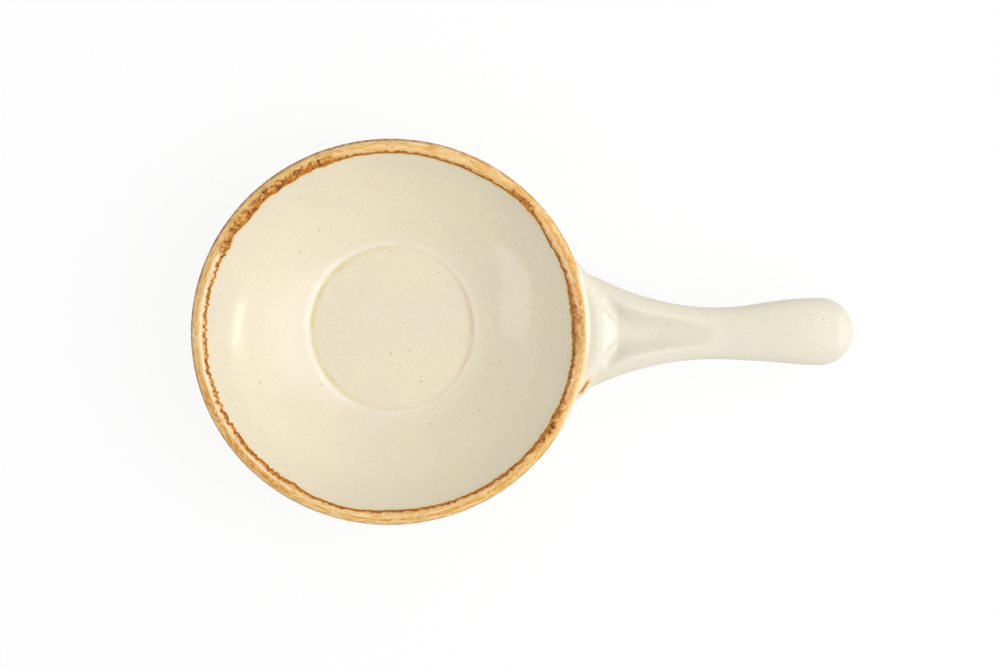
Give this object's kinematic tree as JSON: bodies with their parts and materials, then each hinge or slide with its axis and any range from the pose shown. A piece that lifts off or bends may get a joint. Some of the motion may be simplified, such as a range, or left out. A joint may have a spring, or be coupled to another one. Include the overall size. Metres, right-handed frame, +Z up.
{
  "type": "lug soup bowl",
  "caption": "Round shallow stoneware soup bowl on a foot ring, with a sunk round well, a rounded lip under a tan rim glaze, and a long thumb-scooped handle.",
  "frame": {"origin": "centre of the foot ring, on the plane that the bowl stands on", "axes": "+Z up out of the bowl's mouth, +X from the bowl's axis along the handle, +Y across the handle"},
  "size_m": [0.2691, 0.1608, 0.0434],
  "materials": {
    "cream_glaze": "glossy cream glaze with fine brown iron specks",
    "bare_clay": "unglazed, wiped and ground foot",
    "slip_clay": "fired luting slip under the cream glaze",
    "rim_glaze": "glossy tan reactive glaze breaking to brown at its edges"
  },
  "bodies": {
    "root": {"bowl_body": "cream_glaze", "foot_ring": "bare_clay", "handle": "cream_glaze", "handle_slip_joint": "slip_clay", "rim_glaze_band": "rim_glaze"}
  },
  "joints": []
}
